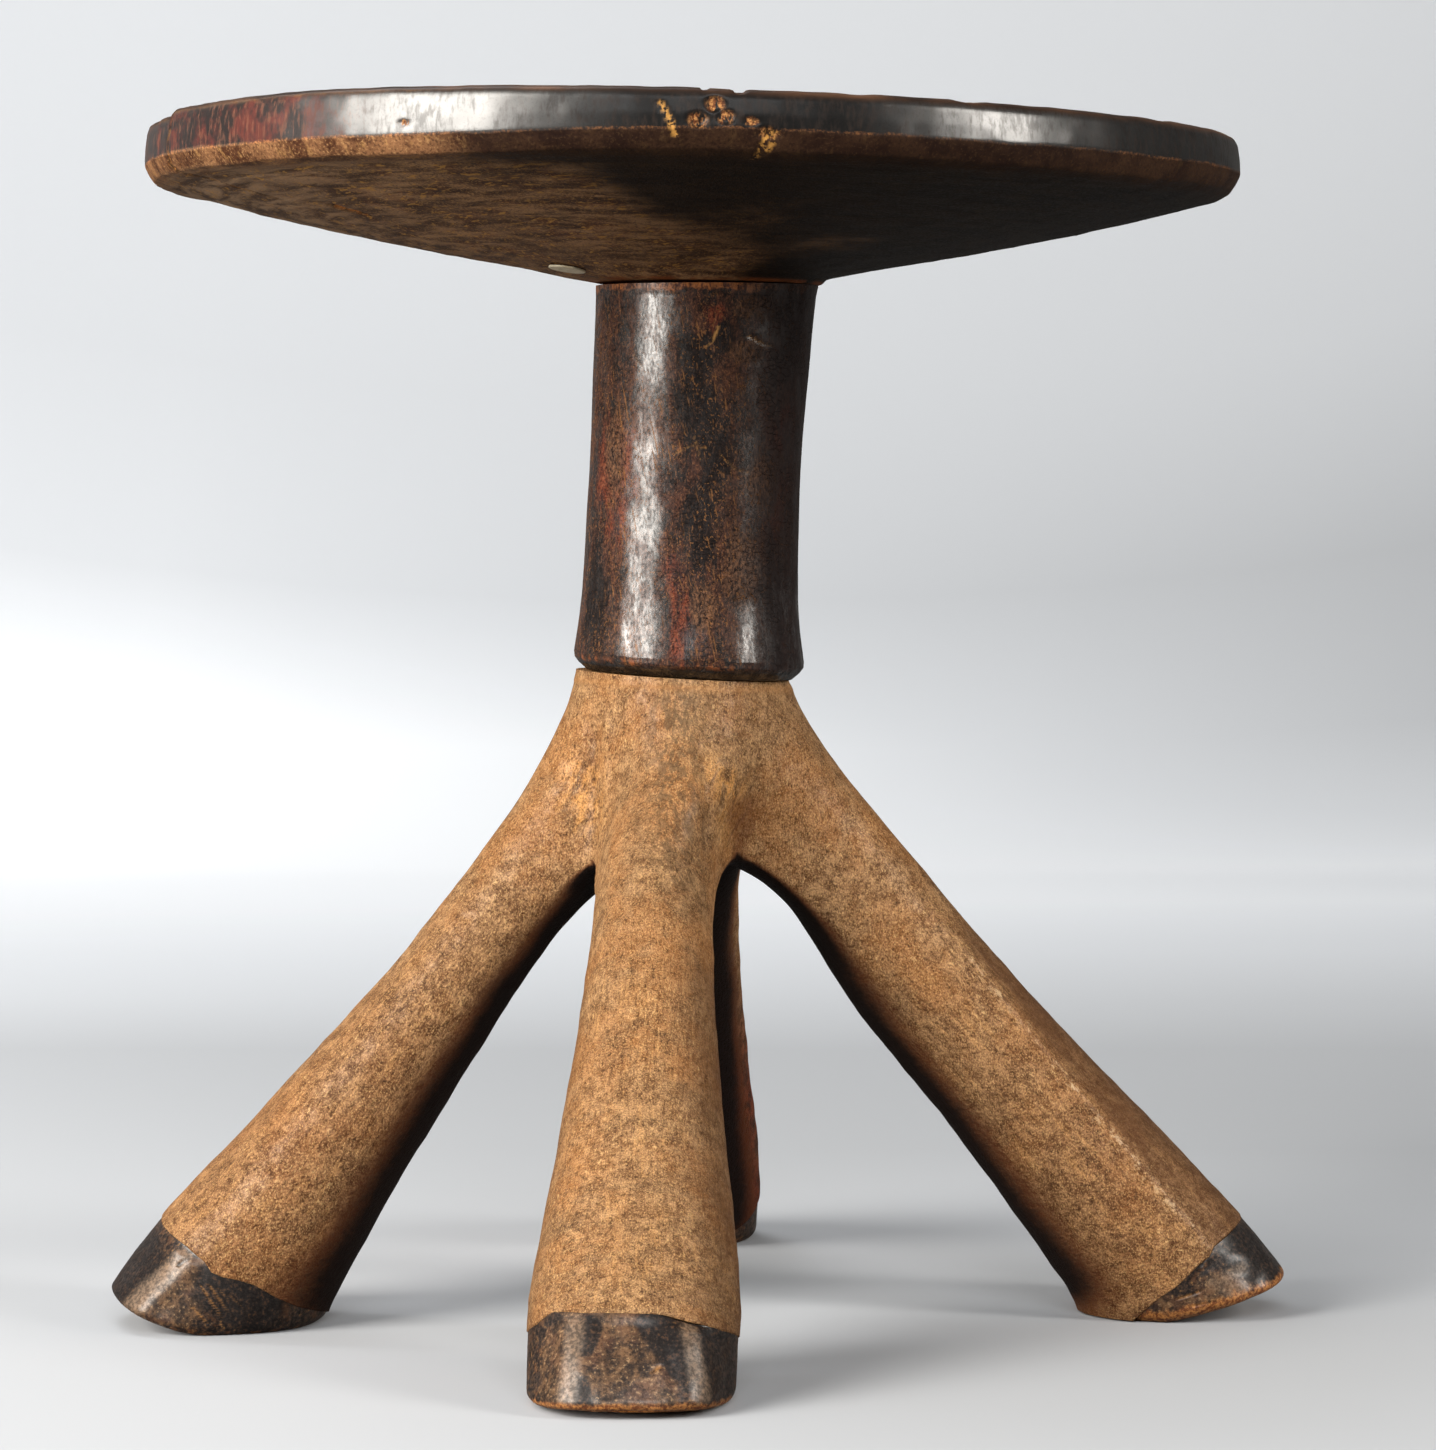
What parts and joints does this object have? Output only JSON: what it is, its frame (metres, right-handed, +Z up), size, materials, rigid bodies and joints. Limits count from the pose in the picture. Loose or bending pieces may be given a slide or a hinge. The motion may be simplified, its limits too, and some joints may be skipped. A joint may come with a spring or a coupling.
{
  "type": "stool",
  "caption": "Carved round stool with a conical underside, a waisted column and splayed legs that end in hooves.",
  "frame": {"origin": "middle of the footprint, on the floor that the hooves stand on", "axes": "+Z up, square to the floor; -Y to the stool's front, which the front leg points to; +X to the right leg"},
  "size_m": [0.3255, 0.3313, 0.328],
  "materials": {
    "seat": "dark, oiled and handled, with fine tool marks",
    "column": "dark red-brown, polished by handling",
    "legs": "mid-brown, satin, with fine dark speckle",
    "hooves": "blackened, worn brown on the ridges and edges",
    "label": "matte, paper-like"
  },
  "bodies": {
    "root": {"seat": "seat", "label_disc": "label", "column": "column", "crown": "legs", "front_leg": "legs", "right_leg": "legs", "back_leg": "legs", "left_leg": "legs", "front_hoof": "hooves", "right_hoof": "hooves", "back_hoof": "hooves", "left_hoof": "hooves"}
  },
  "joints": []
}
